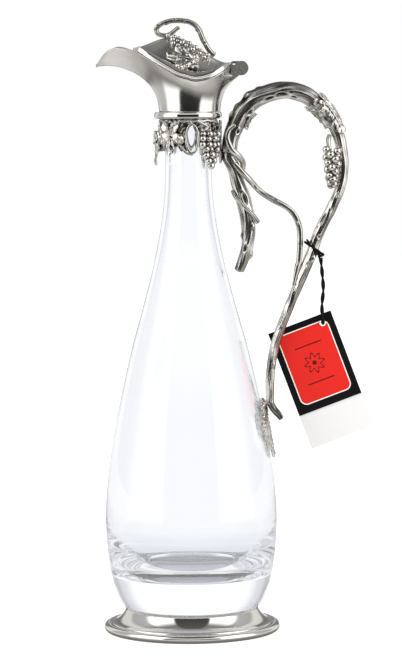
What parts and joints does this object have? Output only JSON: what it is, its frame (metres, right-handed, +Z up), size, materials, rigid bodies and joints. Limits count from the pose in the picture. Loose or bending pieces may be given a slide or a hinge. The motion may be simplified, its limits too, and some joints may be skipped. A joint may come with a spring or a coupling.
{
  "type": "claret jug",
  "caption": "Tall glass claret jug on a metal foot, with a vine-work handle and collar, a long open spout, a hinged lid with a twig lift and a swing tag.",
  "frame": {"origin": "centre of the ring that the foot stands on, at table height", "axes": "+Z up along the glass's axis; the beak of the spout points to -X and the handle is on +X; +Y is the far side in the picture"},
  "size_m": [0.1593, 0.102, 0.3541],
  "materials": {
    "clear_glass": "clear, polished",
    "pewter": "polished",
    "dark_pewter": "antiqued, satin",
    "pin_steel": "plain",
    "cement": "matte",
    "cord_black": "twisted, matte",
    "card_dark": "coated",
    "card_white": "matte"
  },
  "bodies": {
    "jug": {"glass_body": "clear_glass", "foot": "pewter", "foot_cement": "cement", "neck_cement": "cement", "collar_band": "pewter", "collar_sleeve": "dark_pewter", "collar_leaf_front": "pewter", "collar_leaf_side": "pewter", "collar_leaf_rear": "pewter", "root_leaf": "pewter", "collar_vine_front": "pewter", "collar_vine_rear": "pewter", "collar_grapes_front": "pewter", "collar_grapes_rear": "pewter", "spout": "pewter", "spout_knuckle_near": "pewter", "spout_knuckle_far": "pewter", "hinge_pin": "pin_steel", "handle_branch": "dark_pewter", "handle_stub": "dark_pewter", "handle_tendril": "dark_pewter", "root_tendril": "pewter", "stub_twig": "dark_pewter", "arch_bud": "dark_pewter", "shoulder_leaf": "pewter", "inner_leaf": "dark_pewter", "handle_grapes": "pewter", "pad_leaf": "pewter", "stem_spur": "dark_pewter", "tag_loop": "cord_black", "tag_knot": "cord_black"},
    "lid": {"lid": "pewter", "lid_knuckle": "pewter", "lid_twig": "dark_pewter", "lid_leaf": "pewter", "lid_grapes": "pewter"},
    "tag": {"tag_cord": "cord_black", "tag_front": "card_dark", "tag_back": "card_white"}
  },
  "joints": [
    {"name": "lid_hinge", "type": "hinge", "parent": "jug", "child": "lid", "pos_m": [0.0307, 0, 0.32521], "axis": [0, 1, 0], "range_deg": [0, 95]},
    {"name": "tag_swing", "type": "hinge", "parent": "jug", "child": "tag", "pos_m": [0.07573, 0, 0.21772], "axis": [0, 1, 0], "range_deg": [-45, 8]}
  ]
}
